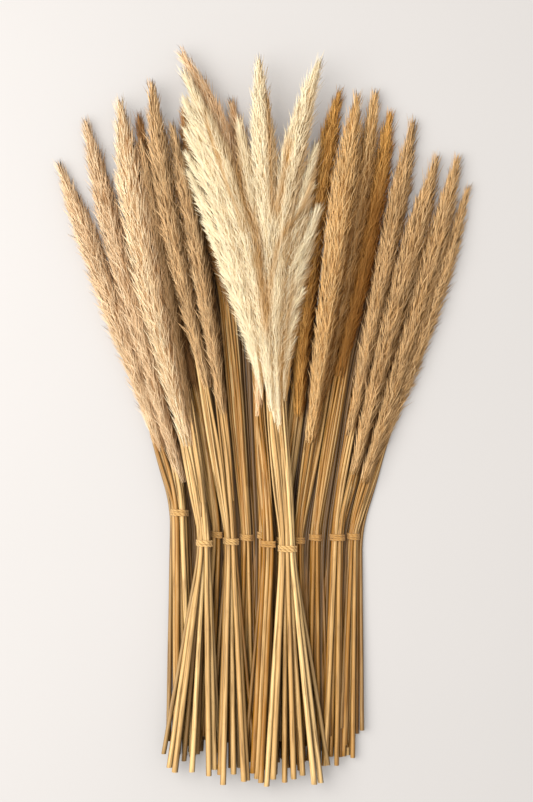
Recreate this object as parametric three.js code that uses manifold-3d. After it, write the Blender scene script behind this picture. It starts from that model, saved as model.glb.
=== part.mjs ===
import * as THREE from "three";
import Module from "manifold-3d";

// A bundle of pampas grass laid down on a flat surface. Thirteen small bunches of cut stems, each
// tied once with twine, lie side by side in two layers and fan out into feathery plumes.
// Millimetres; +Z is up, +Y runs from the cut ends to the plume tips, the origin is under the
// middle of the bundle.

const wasm = await Module();
wasm.setup();

const gap = 0.3; // between bodies that touch

// stems
const stemSides = 5;
const waistSwell = 0.545; // stem radius at the tie, as a share of the stem spacing there
const neckRadius = 2.6; // stem just under its plume
const floorFoot = 5.2; // cut end radius in the lower layer
const topFoot = 6.1; // and in the upper layer
const rowRise = 0.87; // height from one row of stems to the next, in spacings

// ties
const tieHeight = 14;
const tieRidge = 2.6;
const tieGroove = 1.4;
const tieSides = 12;

// plumes
const coreSides = 7;
const coreShare = 0.5; // dense core radius as a share of the feathery radius
const lockLength = 118; // a lock is a tuft of hairs, modelled as a three-sided needle
const lockWidth = 8.5;
const lockRidge = 4.5;
const lockStep = 29; // plume length to one lock
const goldenAngle = Math.PI * (3 - Math.sqrt(5));
const air = 0.5; // kept free between a lock and what belongs to another body

const straw = { name: "stem_straw", color: 0xc9a35c, roughness: 0.55 };
const twine = { name: "tie_twine", color: 0xb98d52, roughness: 0.9 };
const tan = { name: "plume_tan", color: 0xd6b184, roughness: 0.95 };
const brown = { name: "plume_brown", color: 0xb5854c, roughness: 0.95 };
const cream = { name: "plume_cream", color: 0xefdfb9, roughness: 0.95 };

// waist: middle of the pack under the tie. rows: stems in each row of the pack, lowest first.
// feet: left and right end of the fan of cut ends, their mean y and the height they lie at.
// A plume runs from base by bend to tip; wide is its feathery radius, stalks the stems under it.
const bunches = [
  {
    waist: [-170, -201, 17.8], spacing: 10.2, rows: [2, 3, 2], feet: [-184, -136, -693, 0.02],
    plumes: [
      { base: [-225, -20, 16], bend: [-312, 250, 11.2], tip: [-420, 517, 12], wide: 26, stalks: 3 },
      { base: [-184, -72, 17], bend: [-284, 267, 13.7], tip: [-365, 611, 14], wide: 32, stalks: 4 },
    ],
    colour: tan,
  },
  {
    waist: [-119, -262, 43.2], spacing: 9.0, rows: [2, 3, 2], feet: [-196, -92, -728, 29], top: true,
    plumes: [
      { base: [-168, 0, 34], bend: [-250, 318, 38], tip: [-293, 650, 32], wide: 32, stalks: 4 },
      { base: [-152, 16, 34], bend: [-200, 286, 42], tip: [-250, 560, 32], wide: 25, stalks: 3 },
    ],
    colour: tan,
  },
  {
    waist: [-94, -246, 11.7], spacing: 8.6, rows: [2, 2], feet: [-136.1, -103, -697, 0.02],
    plumes: [
      { base: [-148, 98, 13], bend: [-219, 354, 8.7], tip: [-256, 617, 10], wide: 23, stalks: 4 },
    ],
    colour: brown,
  },
  {
    waist: [-64.6, -260, 17], spacing: 8.6, rows: [2, 3, 2], feet: [-92.8, -25, -738, 29], top: true,
    plumes: [
      { base: [-125, 111, 34], bend: [-196, 391, 45], tip: [-228, 683, 36], wide: 29, stalks: 3 },
      { base: [-88, 57, 32], bend: [-129, 327, 39], tip: [-187, 596, 32], wide: 26, stalks: 4 },
    ],
    colour: tan,
  },
  {
    waist: [-33, -252, 10.4], spacing: 7.2, rows: [3, 2], feet: [-53, -14, -713, 0.02],
    plumes: [
      { base: [-74, 256, 14], bend: [-134, 440, 8.2], tip: [-164, 631, 10], wide: 23, stalks: 5 },
    ],
    colour: brown,
  },
  {
    waist: [0, -248, 10.6], spacing: 7.4, rows: [2, 2], feet: [-14.1, 23, -707, 0.02],
    plumes: [
      { base: [-8, 184, 12], bend: [-8, 420, 9.2], tip: [-66, 646, 10], wide: 23, stalks: 4 },
    ],
    colour: tan,
  },
  {
    waist: [12, -264, 28.7], spacing: 8, rows: [2, 3], feet: [-25.7, 3, -734, 28.7], top: true,
    plumes: [
      { base: [-8, 20, 33], bend: [12, 460, 36], tip: [-170, 748, 34], wide: 29, stalks: 5 },
    ],
    colour: tan,
  },
  {
    waist: [39, -258, 10.6], spacing: 7.4, rows: [2, 2], feet: [22.9, 57, -709, 0.02],
    plumes: [
      { base: [76, 57, 14], bend: [89, 369, 12.2], tip: [160, 672, 12], wide: 28, stalks: 4 },
    ],
    colour: brown,
  },
  {
    waist: [51, -273, 33.1], spacing: 8.2, rows: [3, 4, 3], feet: [2.5, 125, -742, 28.7], top: true,
    plumes: [
      { base: [20, -29, 50], bend: [10, 340, 92], tip: [-162, 702, 60], wide: 40, stalks: 3 },
      { base: [27, -29, 50], bend: [-4, 300, 72], tip: [-49, 603, 56], wide: 24, stalks: 1 },
      { base: [33, -29, 46], bend: [12, 350, 71], tip: [-8, 730, 60], wide: 32, stalks: 2 },
      { base: [37, -29, 50], bend: [-8, 359, 70], tip: [117, 726, 60], wide: 32, stalks: 2 },
      { base: [41, -29, 45], bend: [14, 264, 48], tip: [113, 552, 50], wide: 28, stalks: 1 },
      { base: [46, -29, 48], bend: [26, 210, 42], tip: [117, 426, 46], wide: 23, stalks: 1 },
    ],
    colour: cream,
    fused: true,
  },
  {
    waist: [74, -258, 10.4], spacing: 7.2, rows: [3, 2], feet: [56.9, 90, -713, 0.02],
    plumes: [
      { base: [107, 8, 28], bend: [152, 334, 50], tip: [195, 660, 36], wide: 32, stalks: 3 },
      { base: [133, 82, 14], bend: [191, 374, 24], tip: [234, 668, 18], wide: 25, stalks: 2 },
    ],
    colour: brown,
  },
  {
    waist: [109, -252, 10], spacing: 6.8, rows: [3, 2], feet: [90, 121, -705, 0.02],
    plumes: [
      { base: [168, 127, 14], bend: [225, 375, 9.7], tip: [264, 627, 11], wide: 25, stalks: 5 },
    ],
    colour: brown,
  },
  {
    waist: [154, -252, 15.1], spacing: 8.3, rows: [2, 3, 2], feet: [120.9, 161, -705, 0.02],
    plumes: [
      { base: [191, 16, 15], bend: [256, 312, 11.7], tip: [312, 609, 12], wide: 28, stalks: 3 },
      { base: [197, -86, 16], bend: [276, 225, 12.7], tip: [361, 535, 13], wide: 30, stalks: 4 },
    ],
    colour: brown,
  },
  {
    waist: [187, -250, 10], spacing: 6.8, rows: [3, 2], feet: [160.9, 191, -693, 0.02],
    plumes: [
      { base: [221, -102, 18], bend: [328, 211, 11.7], tip: [404, 537, 13], wide: 29, stalks: 3 },
      { base: [243, -66, 10], bend: [352, 193, 8.6], tip: [424, 471, 9], wide: 20, stalks: 2 },
    ],
    colour: brown,
  },
];

let seed = 41;
function random() {
  seed = (seed * 1664525 + 1013904223) % 4294967296;
  return seed / 4294967296;
}

const mix = (a, b, t) => a + (b - a) * t;
const vector = (list) => new THREE.Vector3(...list);

// A closed solid over rings of points; every ring turns the same way and a last ring of one point
// makes a tip.
function loft(rings) {
  const n = rings[0].length;
  const points = rings.flat();
  const faces = [];
  for (let k = 1; k + 1 < n; k += 1) faces.push([0, k + 1, k]);
  for (let i = 0; i + 1 < rings.length; i += 1) {
    const a = i * n;
    const b = a + n;
    for (let k = 0; k < n; k += 1) {
      const next = (k + 1) % n;
      if (rings[i + 1].length === 1) faces.push([a + k, a + next, b]);
      else faces.push([a + k, a + next, b + next], [a + k, b + next, b + k]);
    }
  }
  const last = rings[rings.length - 1].length;
  const start = points.length - last;
  for (let k = 1; k + 1 < last; k += 1) faces.push([start, start + k, start + k + 1]);
  return solid(points, faces);
}

function solid(points, faces) {
  const made = new wasm.Manifold(
    new wasm.Mesh({
      numProp: 3,
      vertProperties: new Float32Array(points.flatMap((p) => [p.x, p.y, p.z])),
      triVerts: new Uint32Array(faces.flat()),
    }),
  );
  if (made.volume() < 0) throw new Error("a solid is inside out");
  return made;
}

// A ring across +Y, seen from the cut ends.
function levelRing(x, y, z, radius, sides, turn) {
  return Array.from({ length: sides }, (_, k) => {
    const angle = turn - (k / sides) * Math.PI * 2;
    return new THREE.Vector3(x + radius * Math.cos(angle), y, z + radius * Math.sin(angle));
  });
}

// Rows of a hexagonal pack, centred on the waist.
function pack(rows, spacing) {
  return rows.flatMap((count, row) =>
    Array.from({ length: count }, (_, k) => ({
      row,
      share: count > 1 ? k / (count - 1) : 0.5,
      x: (k - (count - 1) / 2) * spacing,
      z: (row - (rows.length - 1) / 2) * spacing * rowRise,
    })),
  );
}

// Places of the stalks under a plume: one in the middle and up to six round it.
function stalkPlaces(count) {
  const step = 2 * neckRadius + 0.5;
  if (count < 3) return Array.from({ length: count }, (_, k) => [(k - (count - 1) / 2) * step, 0]);
  if (count < 5) {
    return Array.from({ length: count }, (_, k) => {
      const angle = ((k + 0.5) / count) * Math.PI * 2;
      return [step * 0.7 * Math.cos(angle), step * 0.7 * Math.sin(angle)];
    });
  }
  const round = Array.from({ length: count - 1 }, (_, k) => {
    const angle = (k / (count - 1)) * Math.PI * 2;
    return [step * Math.cos(angle), step * Math.sin(angle)];
  });
  return [[0, 0], ...round];
}

// Where each stem of a bunch passes: cut end, both sides of the tie, half way up, under its plume.
function stemPaths(bunch) {
  const [wx, wy, wz] = bunch.waist;
  const [left, right, footY, level] = bunch.feet;
  const foot = bunch.top ? topFoot : floorFoot;
  const places = pack(bunch.rows, bunch.spacing).sort((a, b) => a.x - b.x || a.z - b.z);
  const wanted = [...bunch.plumes].sort((a, b) => a.base[0] - b.base[0]);
  let from = 0;
  return wanted.flatMap((plume) => {
    const mine = places.slice(from, from + plume.stalks).sort((a, b) => a.z - b.z || a.x - b.x);
    from += plume.stalks;
    const ends = stalkPlaces(plume.stalks).sort((a, b) => a[1] - b[1] || a[0] - b[0]);
    return mine.map((place, k) => {
      const inset = foot + (place.row % 2 ? 0 : 0.12 * (right - left - 2 * foot));
      const x = mix(left + inset, right - inset, place.share);
      const y = footY + (random() - 0.5) * 26 - place.row * 4;
      const r = foot * mix(0.97, 1.02, random());
      const z = level + r * Math.cos(Math.PI / stemSides) + place.row * 2 * foot * rowRise;
      const end = vector(plume.base).add(new THREE.Vector3(ends[k][0], -gap, ends[k][1]));
      const waist = [wx + place.x, wz + place.z];
      const high = wy + tieHeight;
      return [
        { x, y, z, r },
        { x: waist[0], y: wy - tieHeight, z: waist[1], r: bunch.spacing * waistSwell },
        { x: waist[0], y: high, z: waist[1], r: bunch.spacing * waistSwell },
        {
          x: mix(waist[0], end.x, 0.36),
          y: mix(high, end.y, 0.48),
          z: mix(waist[1], end.z, 0.4),
          r: mix(bunch.spacing * waistSwell, neckRadius, 0.5),
        },
        { x: end.x, y: end.y, z: end.z, r: neckRadius },
      ];
    });
  });
}

function stemBody(path) {
  const rings = path.map((p) => levelRing(p.x, p.y, p.z, p.r, stemSides, Math.PI / 2));
  return loft(rings);
}

// The tie goes round the pack: its inner line keeps clear of every stem it passes.
function tieBody(bunch) {
  const [wx, wy, wz] = bunch.waist;
  const places = pack(bunch.rows, bunch.spacing);
  const half = tieHeight / 2;
  const profile = [
    [-half, 0], [half, 0], [half / 2, tieRidge], [0, tieGroove], [-half / 2, tieRidge],
  ];
  const rings = Array.from({ length: tieSides }, (_, k) => {
    const angle = ((k + 0.5) / tieSides) * Math.PI * 2;
    const [c, s] = [Math.cos(angle), Math.sin(angle)];
    const far = places.reduce((a, b) => (b.x * c + b.z * s > a.x * c + a.z * s ? b : a));
    const inner = bunch.spacing * waistSwell + gap + 0.12;
    return profile.map(([y, out]) => {
      const r = inner + out;
      return new THREE.Vector3(wx + far.x + c * r, wy + y, wz + far.z + s * r);
    });
  });
  const m = profile.length;
  const faces = [];
  for (let k = 0; k < tieSides; k += 1) {
    const a = k * m;
    const b = ((k + 1) % tieSides) * m;
    for (let j = 0; j < m; j += 1) {
      const next = (j + 1) % m;
      faces.push([a + j, b + j, b + next], [a + j, b + next, a + next]);
    }
  }
  return solid(rings.flat(), faces);
}

// A plume's feathery radius over its length, as a share of its widest.
const swell = (t) => Math.sin(Math.PI * Math.min(Math.max(t, 0.001), 0.999) ** 1.35) ** 0.62;

class Plume {
  constructor(data) {
    Object.assign(this, data);
    this.line = new THREE.QuadraticBezierCurve3(
      vector(data.base),
      vector(data.bend),
      vector(data.tip),
    );
    this.length = this.line.getLength();
    this.neck = [0, 3.4, 6, 6.4, 6.8, 8.4, 8.4, 8.4][data.stalks];
    this.samples = Array.from({ length: 33 }, (_, k) => k / 32).map((t) => ({
      ...this.line.getPoint(t),
      r: this.core(t),
    }));
  }

  core(t) {
    return Math.hypot(coreShare * this.wide * swell(t), this.neck * (1 - t) ** 8);
  }

  // Point at share t of the length, out from the middle line by r in the direction of angle.
  at(t, angle, r) {
    const along = this.line.getTangent(Math.min(t, 1));
    const point = this.line.getPoint(Math.min(t, 1));
    if (t > 1) point.addScaledVector(along, (t - 1) * this.length);
    const up = new THREE.Vector3(0, 0, 1).addScaledVector(along, -along.z).normalize();
    const side = new THREE.Vector3().crossVectors(along, up);
    return {
      point: point
        .addScaledVector(up, Math.cos(angle) * r)
        .addScaledVector(side, Math.sin(angle) * r),
      out: up.clone().multiplyScalar(Math.cos(angle)).addScaledVector(side, Math.sin(angle)),
      round: up.clone().multiplyScalar(-Math.sin(angle)).addScaledVector(side, Math.cos(angle)),
    };
  }

  coreBody() {
    const stations = [0.05, 0.16, 0.33, 0.52, 0.71, 0.88];
    const [x, y, z] = this.base;
    const rings = [levelRing(x, y, z, this.neck, coreSides, Math.PI / 2)];
    for (const t of stations) {
      rings.push(
        Array.from({ length: coreSides }, (_, k) => {
          return this.at(t, (k / coreSides) * Math.PI * 2, this.core(t)).point;
        }),
      );
    }
    rings.push([this.at(0.985, 0, 0).point]);
    return loft(rings);
  }
}

// Distance from a point to a line of samples, less the radius there.
function depth(point, samples) {
  let best = Infinity;
  for (let i = 0; i + 1 < samples.length; i += 1) {
    const [a, b] = [samples[i], samples[i + 1]];
    const [dx, dy, dz] = [b.x - a.x, b.y - a.y, b.z - a.z];
    const [px, py, pz] = [point.x - a.x, point.y - a.y, point.z - a.z];
    const s = (px * dx + py * dy + pz * dz) / (dx * dx + dy * dy + dz * dz);
    const t = Math.min(1, Math.max(0, s));
    const d = Math.hypot(px - dx * t, py - dy * t, pz - dz * t) - mix(a.r, b.r, t);
    if (d < best) best = d;
  }
  return best;
}

// A lock may reach as far as it stays nearer to its own plume than to another, clear of stems.
function isFree(corners, tip, own, others, stems) {
  for (const corner of corners) {
    for (let k = 1; k <= 8; k += 1) {
      const p = corner.clone().lerp(tip, k / 8);
      const mine = Math.min(...own.map((plume) => depth(p, plume.samples)));
      if (mine < -1) continue;
      if (others.some((plume) => depth(p, plume.samples) < mine + air)) return false;
      if (stems.some((path) => depth(p, path) < air)) return false;
    }
  }
  return true;
}

function locks(plume, own, others, stems) {
  const count = Math.round(plume.length / lockStep);
  const reach = lockLength / plume.length;
  const made = [];
  for (let i = 0; i < count; i += 1) {
    const t = mix(0.03, 0.94 - 0.4 * reach, (i + 0.5) / count);
    const angle = i * goldenAngle;
    const end = Math.min(t + reach * mix(0.85, 1.15, random()), mix(1, 1.03, random()));
    const full = plume.wide * swell(Math.min(end, 0.975)) * mix(0.9, 1.14, random());
    const root = plume.at(t, angle, 0.4 * plume.core(t));
    const half = (lockWidth / 2) * mix(0.85, 1.1, random()) * mix(1, 0.6, t);
    const corners = [
      root.point.clone().addScaledVector(root.round, -half).addScaledVector(root.out, -1),
      root.point.clone().addScaledVector(root.out, lockRidge),
      root.point.clone().addScaledVector(root.round, half).addScaledVector(root.out, -1),
    ];
    for (let out = full; out > 0.55 * plume.core(end); out -= 2) {
      const tip = plume.at(end, angle, out).point;
      tip.z = Math.max(tip.z, 0.8);
      if (!isFree(corners, tip, own, others, stems)) continue;
      made.push(loft([corners, [tip]]));
      break;
    }
  }
  return made;
}

// Joins bodies that are sunk into each other, fills the hollows they close off and cuts the flat
// spots the bundle rests on.
function join(bodies) {
  const shells = wasm.Manifold.union(bodies).decompose();
  const filled = wasm.Manifold.union(shells.filter((shell) => shell.volume() > 0));
  return filled.trimByPlane([0, 0, 1], 0);
}

const bundle = new THREE.Group();
bundle.name = "pampas_bundle";

function add(name, made, look) {
  const mesh = made.getMesh();
  const geometry = new THREE.BufferGeometry();
  geometry.setAttribute("position", new THREE.BufferAttribute(mesh.vertProperties, 3));
  geometry.setIndex(new THREE.BufferAttribute(mesh.triVerts, 1));
  const shown = geometry.toNonIndexed();
  shown.computeVertexNormals();
  const material = new THREE.MeshStandardMaterial({ ...look, flatShading: true });
  const node = new THREE.Mesh(shown, material);
  node.name = name;
  bundle.add(node);
}

const grown = bunches.map((bunch) => ({
  bunch,
  paths: stemPaths(bunch),
  plumes: bunch.plumes.map((data) => new Plume(data)),
}));
const allStems = grown.flatMap((g) => g.paths);
const allPlumes = grown.flatMap((g) => g.plumes);

grown.forEach(({ bunch, paths, plumes }, index) => {
  const name = `bunch${String(index + 1).padStart(2, "0")}`;
  add(`${name}_stems`, join(paths.map(stemBody)), straw);
  add(`${name}_tie`, tieBody(bunch), twine);
  const groups = bunch.fused ? [plumes] : plumes.map((plume) => [plume]);
  groups.forEach((own, k) => {
    const others = allPlumes.filter((plume) => !own.includes(plume));
    const bodies = own.flatMap((p) => [p.coreBody(), ...locks(p, own, others, allStems)]);
    add(`${name}_${bunch.fused ? "plumes" : `plume_${"ab"[k]}`}`, join(bodies), bunch.colour);
  });
});

const middle = new THREE.Box3().setFromObject(bundle).getCenter(new THREE.Vector3());
bundle.position.set(-middle.x, -middle.y, 0);

export default bundle;
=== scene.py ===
import bpy
import numpy as np
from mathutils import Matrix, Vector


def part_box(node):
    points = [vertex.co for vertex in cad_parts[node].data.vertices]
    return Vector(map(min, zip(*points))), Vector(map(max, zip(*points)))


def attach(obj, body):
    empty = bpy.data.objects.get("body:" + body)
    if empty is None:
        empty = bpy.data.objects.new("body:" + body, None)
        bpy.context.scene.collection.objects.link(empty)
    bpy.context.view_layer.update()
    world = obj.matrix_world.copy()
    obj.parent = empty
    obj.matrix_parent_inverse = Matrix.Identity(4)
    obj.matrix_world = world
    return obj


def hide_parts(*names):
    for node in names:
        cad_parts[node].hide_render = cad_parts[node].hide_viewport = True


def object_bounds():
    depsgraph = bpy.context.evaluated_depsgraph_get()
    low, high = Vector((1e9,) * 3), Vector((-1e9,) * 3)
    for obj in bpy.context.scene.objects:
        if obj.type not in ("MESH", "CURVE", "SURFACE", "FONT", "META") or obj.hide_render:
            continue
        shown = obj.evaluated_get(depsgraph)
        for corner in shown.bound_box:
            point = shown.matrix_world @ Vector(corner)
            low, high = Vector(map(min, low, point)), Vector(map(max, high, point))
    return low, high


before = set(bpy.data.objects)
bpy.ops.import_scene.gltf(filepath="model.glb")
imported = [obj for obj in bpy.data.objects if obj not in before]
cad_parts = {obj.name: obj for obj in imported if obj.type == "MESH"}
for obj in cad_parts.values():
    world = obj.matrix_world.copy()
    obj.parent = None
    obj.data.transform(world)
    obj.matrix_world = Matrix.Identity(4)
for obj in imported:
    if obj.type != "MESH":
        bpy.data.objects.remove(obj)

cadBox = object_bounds()
mm = 0.001
goldenAngle = np.pi * (3 - 5 ** 0.5)
print("stage 1: solids loaded,", len(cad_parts), "nodes")

# A plume runs from base by bend to tip. wide: its feathery radius. stalks: the stems under it. start:
# share of the curve at which its hair starts. full: share at which it is full. dim: how much light its
# lower half gets behind the others. shaded: how dark its far side is, against what its look says.
def plumeAt(base, bend, tip, wide, stalks, start=-0.1, full=0.4, dim=1, shaded=1, look=None):
    return {"base": base, "bend": bend, "tip": tip, "wide": wide, "stalks": stalks, "start": start,
            "full": full, "dim": dim, "shaded": shaded, "look": look}


# waist: middle of the pack under the tie. spacing: from stem to stem there. rows: stems in each row,
# lowest first. feet: left and right end of the fan of cut ends, their mean y and the height they lie
# at. foot: radius of a cut end. loose: thin stalks, how wide they spread to each side under a plume,
# and low stems behind. pale: how pale the straw is, partly painted shade, as it is lower on most
# bunches behind the others. look: of all plumes that have none of their own.
def bunchAt(waist, spacing, rows, feet, foot, loose, pale, look, plumes):
    return {"waist": waist, "spacing": spacing, "rows": rows, "feet": feet, "foot": foot, "loose": loose,
            "pale": pale, "look": look, "plumes": plumes}


# The bunches, in millimetres as in the solids, before the bundle is centred.
bunches = [
    bunchAt((-170, -201, 17.8), 10.2, (2, 3, 2), (-184, -136, -693, 0.02), 5.2, (18, 13, 7), 0.5, "rose", [
        plumeAt((-225, -20, 16), (-312, 250, 11.2), (-420, 517, 12), 30, 3, shaded=0.75),
        plumeAt((-184, -72, 17), (-284, 267, 13.7), (-365, 611, 14), 32, 4, shaded=0.9)]),
    bunchAt((-119, -262, 43.2), 9.0, (2, 3, 2), (-196, -92, -728, 29), 6.1, (20, 13, 6), 1.0, "sand", [
        plumeAt((-168, 0, 34), (-250, 318, 38), (-293, 650, 32), 42, 4, shaded=0.8),
        plumeAt((-152, 16, 34), (-200, 286, 42), (-250, 560, 32), 20, 3, look="dusk", dim=0.42)]),
    bunchAt((-94, -246, 11.7), 8.6, (2, 2), (-136.1, -103, -697, 0.02), 5.2, (20, 20, 9), 0.3, "umber", [
        plumeAt((-148, 98, 13), (-219, 354, 8.7), (-256, 617, 10), 23, 4, dim=0.5)]),
    bunchAt((-64.6, -260, 17), 8.6, (2, 3, 2), (-92.8, -25, -738, 29), 6.1, (22, 13, 6), 0.6, "dusk", [
        plumeAt((-125, 111, 34), (-196, 391, 45), (-228, 683, 36), 29, 3),
        plumeAt((-88, 57, 32), (-129, 327, 39), (-187, 596, 32), 26, 4)]),
    bunchAt((-33, -252, 10.4), 7.2, (3, 2), (-53, -14, -713, 0.02), 5.2, (26, 20, 9), 0.35, "umber", [
        plumeAt((-74, 256, 14), (-134, 440, 8.2), (-164, 631, 10), 23, 5, dim=0.6)]),
    bunchAt((0, -248, 10.6), 7.4, (2, 2), (-14.1, 23, -707, 0.02), 5.2, (24, 18, 8), 0.35, "honey", [
        plumeAt((-8, 184, 12), (-8, 420, 9.2), (-66, 646, 10), 23, 4)]),
    bunchAt((12, -264, 28.7), 8, (2, 3), (-25.7, 3, -734, 28.7), 6.1, (20, 13, 7), 0.15, "honey", [
        plumeAt((-8, 20, 33), (12, 460, 36), (-170, 748, 34), 29, 5, start=-0.03, shaded=0.5)]),
    bunchAt((39, -258, 10.6), 7.4, (2, 2), (22.9, 57, -709, 0.02), 5.2, (22, 18, 8), 0.25, "amber", [
        plumeAt((76, 57, 14), (89, 369, 12.2), (160, 672, 12), 33, 4)]),
    bunchAt((51, -273, 33.1), 8.2, (3, 4, 3), (2.5, 125, -742, 28.7), 6.1, (20, 12, 6), 0.75, "cream", [
        plumeAt((20, -29, 50), (10, 340, 92), (-162, 702, 60), 30, 3, start=0.05),
        plumeAt((27, -29, 50), (-4, 300, 72), (-49, 603, 56), 26, 1, start=0.02),
        plumeAt((33, -29, 46), (12, 350, 71), (-8, 730, 60), 34, 2, start=-0.01),
        plumeAt((37, -29, 50), (-8, 359, 70), (117, 726, 60), 34, 2, start=0.01),
        plumeAt((41, -29, 45), (14, 264, 48), (113, 552, 50), 29, 1, start=0.07),
        plumeAt((46, -29, 48), (26, 210, 42), (117, 426, 46), 24, 1, start=0.12)]),
    bunchAt((74, -258, 10.4), 7.2, (3, 2), (56.9, 90, -713, 0.02), 5.2, (22, 14, 8), 0.1, "wheat", [
        plumeAt((107, 8, 28), (152, 334, 50), (195, 660, 36), 38, 3, full=0.6),
        plumeAt((133, 82, 14), (191, 374, 24), (234, 668, 18), 30, 2, dim=0.5)]),
    bunchAt((109, -252, 10), 6.8, (3, 2), (90, 121, -705, 0.02), 5.2, (24, 16, 8), 0.05, "amber", [
        plumeAt((168, 127, 14), (225, 375, 9.7), (264, 627, 11), 29, 5, dim=0.3)]),
    bunchAt((154, -252, 15.1), 8.3, (2, 3, 2), (120.9, 161, -705, 0.02), 5.2, (20, 13, 7), 0.2, "fawn", [
        plumeAt((191, 16, 15), (256, 312, 11.7), (312, 609, 12), 28, 3, full=0.6),
        plumeAt((197, -86, 16), (276, 225, 12.7), (361, 535, 13), 36, 4, start=-0.06, full=0.6)]),
    bunchAt((187, -250, 10), 6.8, (3, 2), (160.9, 191, -693, 0.02), 5.2, (18, 13, 6), 0.15, "fawn", [
        plumeAt((221, -102, 18), (328, 211, 11.7), (404, 537, 13), 32, 3, shaded=0.75, start=-0.06, full=0.6),
        plumeAt((243, -66, 10), (352, 193, 8.6), (424, 471, 9), 20, 2, shaded=0.3, start=-0.06, full=0.5)]),
]

# Side plume of the cream ones, and the tips of their side tufts: side, x and y.
creamSide = plumeAt((0, 30, 60), (-38, 330, 82), (-158, 640, 62), 26, 0, start=0.0)
creamTips = [
    (-1, -160, 640), (-1, -158, 582), (-1, -154, 533), (-1, -150, 492), (-1, -133, 441), (-1, -117, 392),
    (-1, -100, 344), (-1, -84, 295), (-1, -66, 246), (-1, -47, 193), (-1, -29, 139),
    (1, 102, 471), (1, 94, 365), (1, 86, 312), (1, 82, 256), (1, 72, 205), (1, 64, 154),
]

# Painted shade in the golden valleys between the cream plumes: lines of x and y, and how wide each one is.
creamValleyShade = [
    (9, [(-64, 600), (-55, 553), (-43, 472), (-35, 430), (-14, 379), (-5, 338), (-7, 293), (0, 246),
         (6, 190)]),
    (5, [(11, 650), (15, 553), (18, 472), (18, 440)]),
    (7, [(118, 520), (111, 500), (82, 420), (47, 375), (31, 344), (17, 277), (12, 230)]),
    (7, [(52, 540), (46, 508), (39, 461), (30, 420)]),
    (4, [(-116, 600), (-94, 530), (-66, 450), (-46, 400)]),
    (5, [(60, 250), (48, 170), (38, 90)]),
]

# The solids are centred as a whole, so the middle tie shows how far the bundle was moved.
moved = np.mean(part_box("bunch09_tie"), axis=0) - np.array(bunches[8]["waist"]) * mm
centring = moved * (1, 1, 0)


# The value at share t of the way from a to b.
def mix(a, b, t):
    return a + (b - a) * t


# The direction of v: v over its own length.
def unit(v):
    return v / np.linalg.norm(v, axis=-1, keepdims=True)


# What a tube's points have each: the first pole, all rings, and the last pole.
def withPoles(first, rings, last):
    return np.concatenate([[first], rings.reshape(-1, rings.shape[-1]), [last]])


# A tube's own map: once round it is a unit across, from the seam on, and along it is in metres.
def tubeMap(along, sides, seam=0):
    u = seam + np.tile(np.arange(sides) / sides, len(along))
    return withPoles([seam, along[0]], np.stack([u, np.repeat(along, sides)], axis=-1), [seam, along[-1]])


# How far t is on a stretch this wide that starts at first, from none to full.
def ramp(t, first, wide):
    return np.clip((t - first) / wide, 0, 1)


# Triangles of a closed tube: one pole, rings of the same number of points, one pole.
def tubeTriangles(rings, sides):
    k = np.arange(sides)
    after = (k + 1) % sides
    first = 1 + np.arange(rings - 1)[:, None] * sides
    a, b = first + k, first + after
    c, d = a + sides, b + sides
    walls = np.stack([a, b, d, a, d, c], axis=-1).reshape(-1, 3)
    last = 1 + (rings - 1) * sides
    start = np.stack([np.zeros(sides, int), 1 + after, 1 + k], axis=-1)
    end = np.stack([last + k, last + after, np.full(sides, last + sides)], axis=-1)
    return np.concatenate([start, walls, end])


# Joins parts of points, triangles, values and map or facing into one set, each with its faces
# turned outwards: a part is turned over where the volume it encloses comes out negative.
def joinParts(parts):
    joined, count = [], 0
    for points, triangles, *rest in parts:
        a, b, c = (points[triangles[:, i]] - points.mean(axis=0) for i in range(3))
        if np.sum(np.cross(a, b) * c) < 0:
            triangles = triangles[:, ::-1]
        joined.append((points, triangles + count, *rest))
        count += len(points)
    return [np.concatenate(arrays) for arrays in zip(*joined)]


stemLook = {
    "neck": 2.6 * mm, "end": 1.4 * mm, "endAt": 0.06, "swellAtTie": 0.545, "rowRise": 0.87, "inset": 0.12,
    "tieHalf": 14 * mm, "scatter": 26 * mm, "setBack": 4 * mm, "footSizes": (0.97, 1.02), "solidSides": 5,
    "halfWay": (0.36, 0.48, 0.4),
}
dice = {"seed": 41, "times": 1664525, "plus": 1013904223, "below": 4294967296}


# The linear congruence that the solids use, so that each cut end lies where its solid does.
def nextShare():
    dice["seed"] = (dice["seed"] * dice["times"] + dice["plus"]) % dice["below"]
    return dice["seed"] / dice["below"]


# The plumes of a bunch, from left to right.
def inOrder(bunch):
    return sorted(bunch["plumes"], key=lambda plume: plume["base"][0])


# Rows of a hexagonal pack, centred on the waist.
def packPlaces(bunch):
    rows, spacing = bunch["rows"], bunch["spacing"] * mm
    return [
        {"row": row, "share": k / (count - 1), "x": (k - (count - 1) / 2) * spacing,
         "z": (row - (len(rows) - 1) / 2) * spacing * stemLook["rowRise"]}
        for row, count in enumerate(rows) for k in range(count)
    ]


# Places of the stalks under a plume: one in the middle and the others round it.
def stalkPlaces(count):
    step = 2 * stemLook["neck"] + 0.5 * mm
    if count < 3:
        return [((k - (count - 1) / 2) * step, 0) for k in range(count)]
    if count < 5:
        turns = [(k + 0.5) / count * 2 * np.pi for k in range(count)]
        return [(0.7 * step * np.cos(a), 0.7 * step * np.sin(a)) for a in turns]
    turns = [k / (count - 1) * 2 * np.pi for k in range(count - 1)]
    return [(0, 0)] + [(step * np.cos(a), step * np.sin(a)) for a in turns]


# A plume's middle line: the quadratic curve over its base, bend and tip.
def alongPlume(plume, t):
    base, bend, tip = (np.array(plume[k]) * mm for k in ("base", "bend", "tip"))
    return mix(mix(base, bend, t), mix(bend, tip, t), t)


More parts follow.
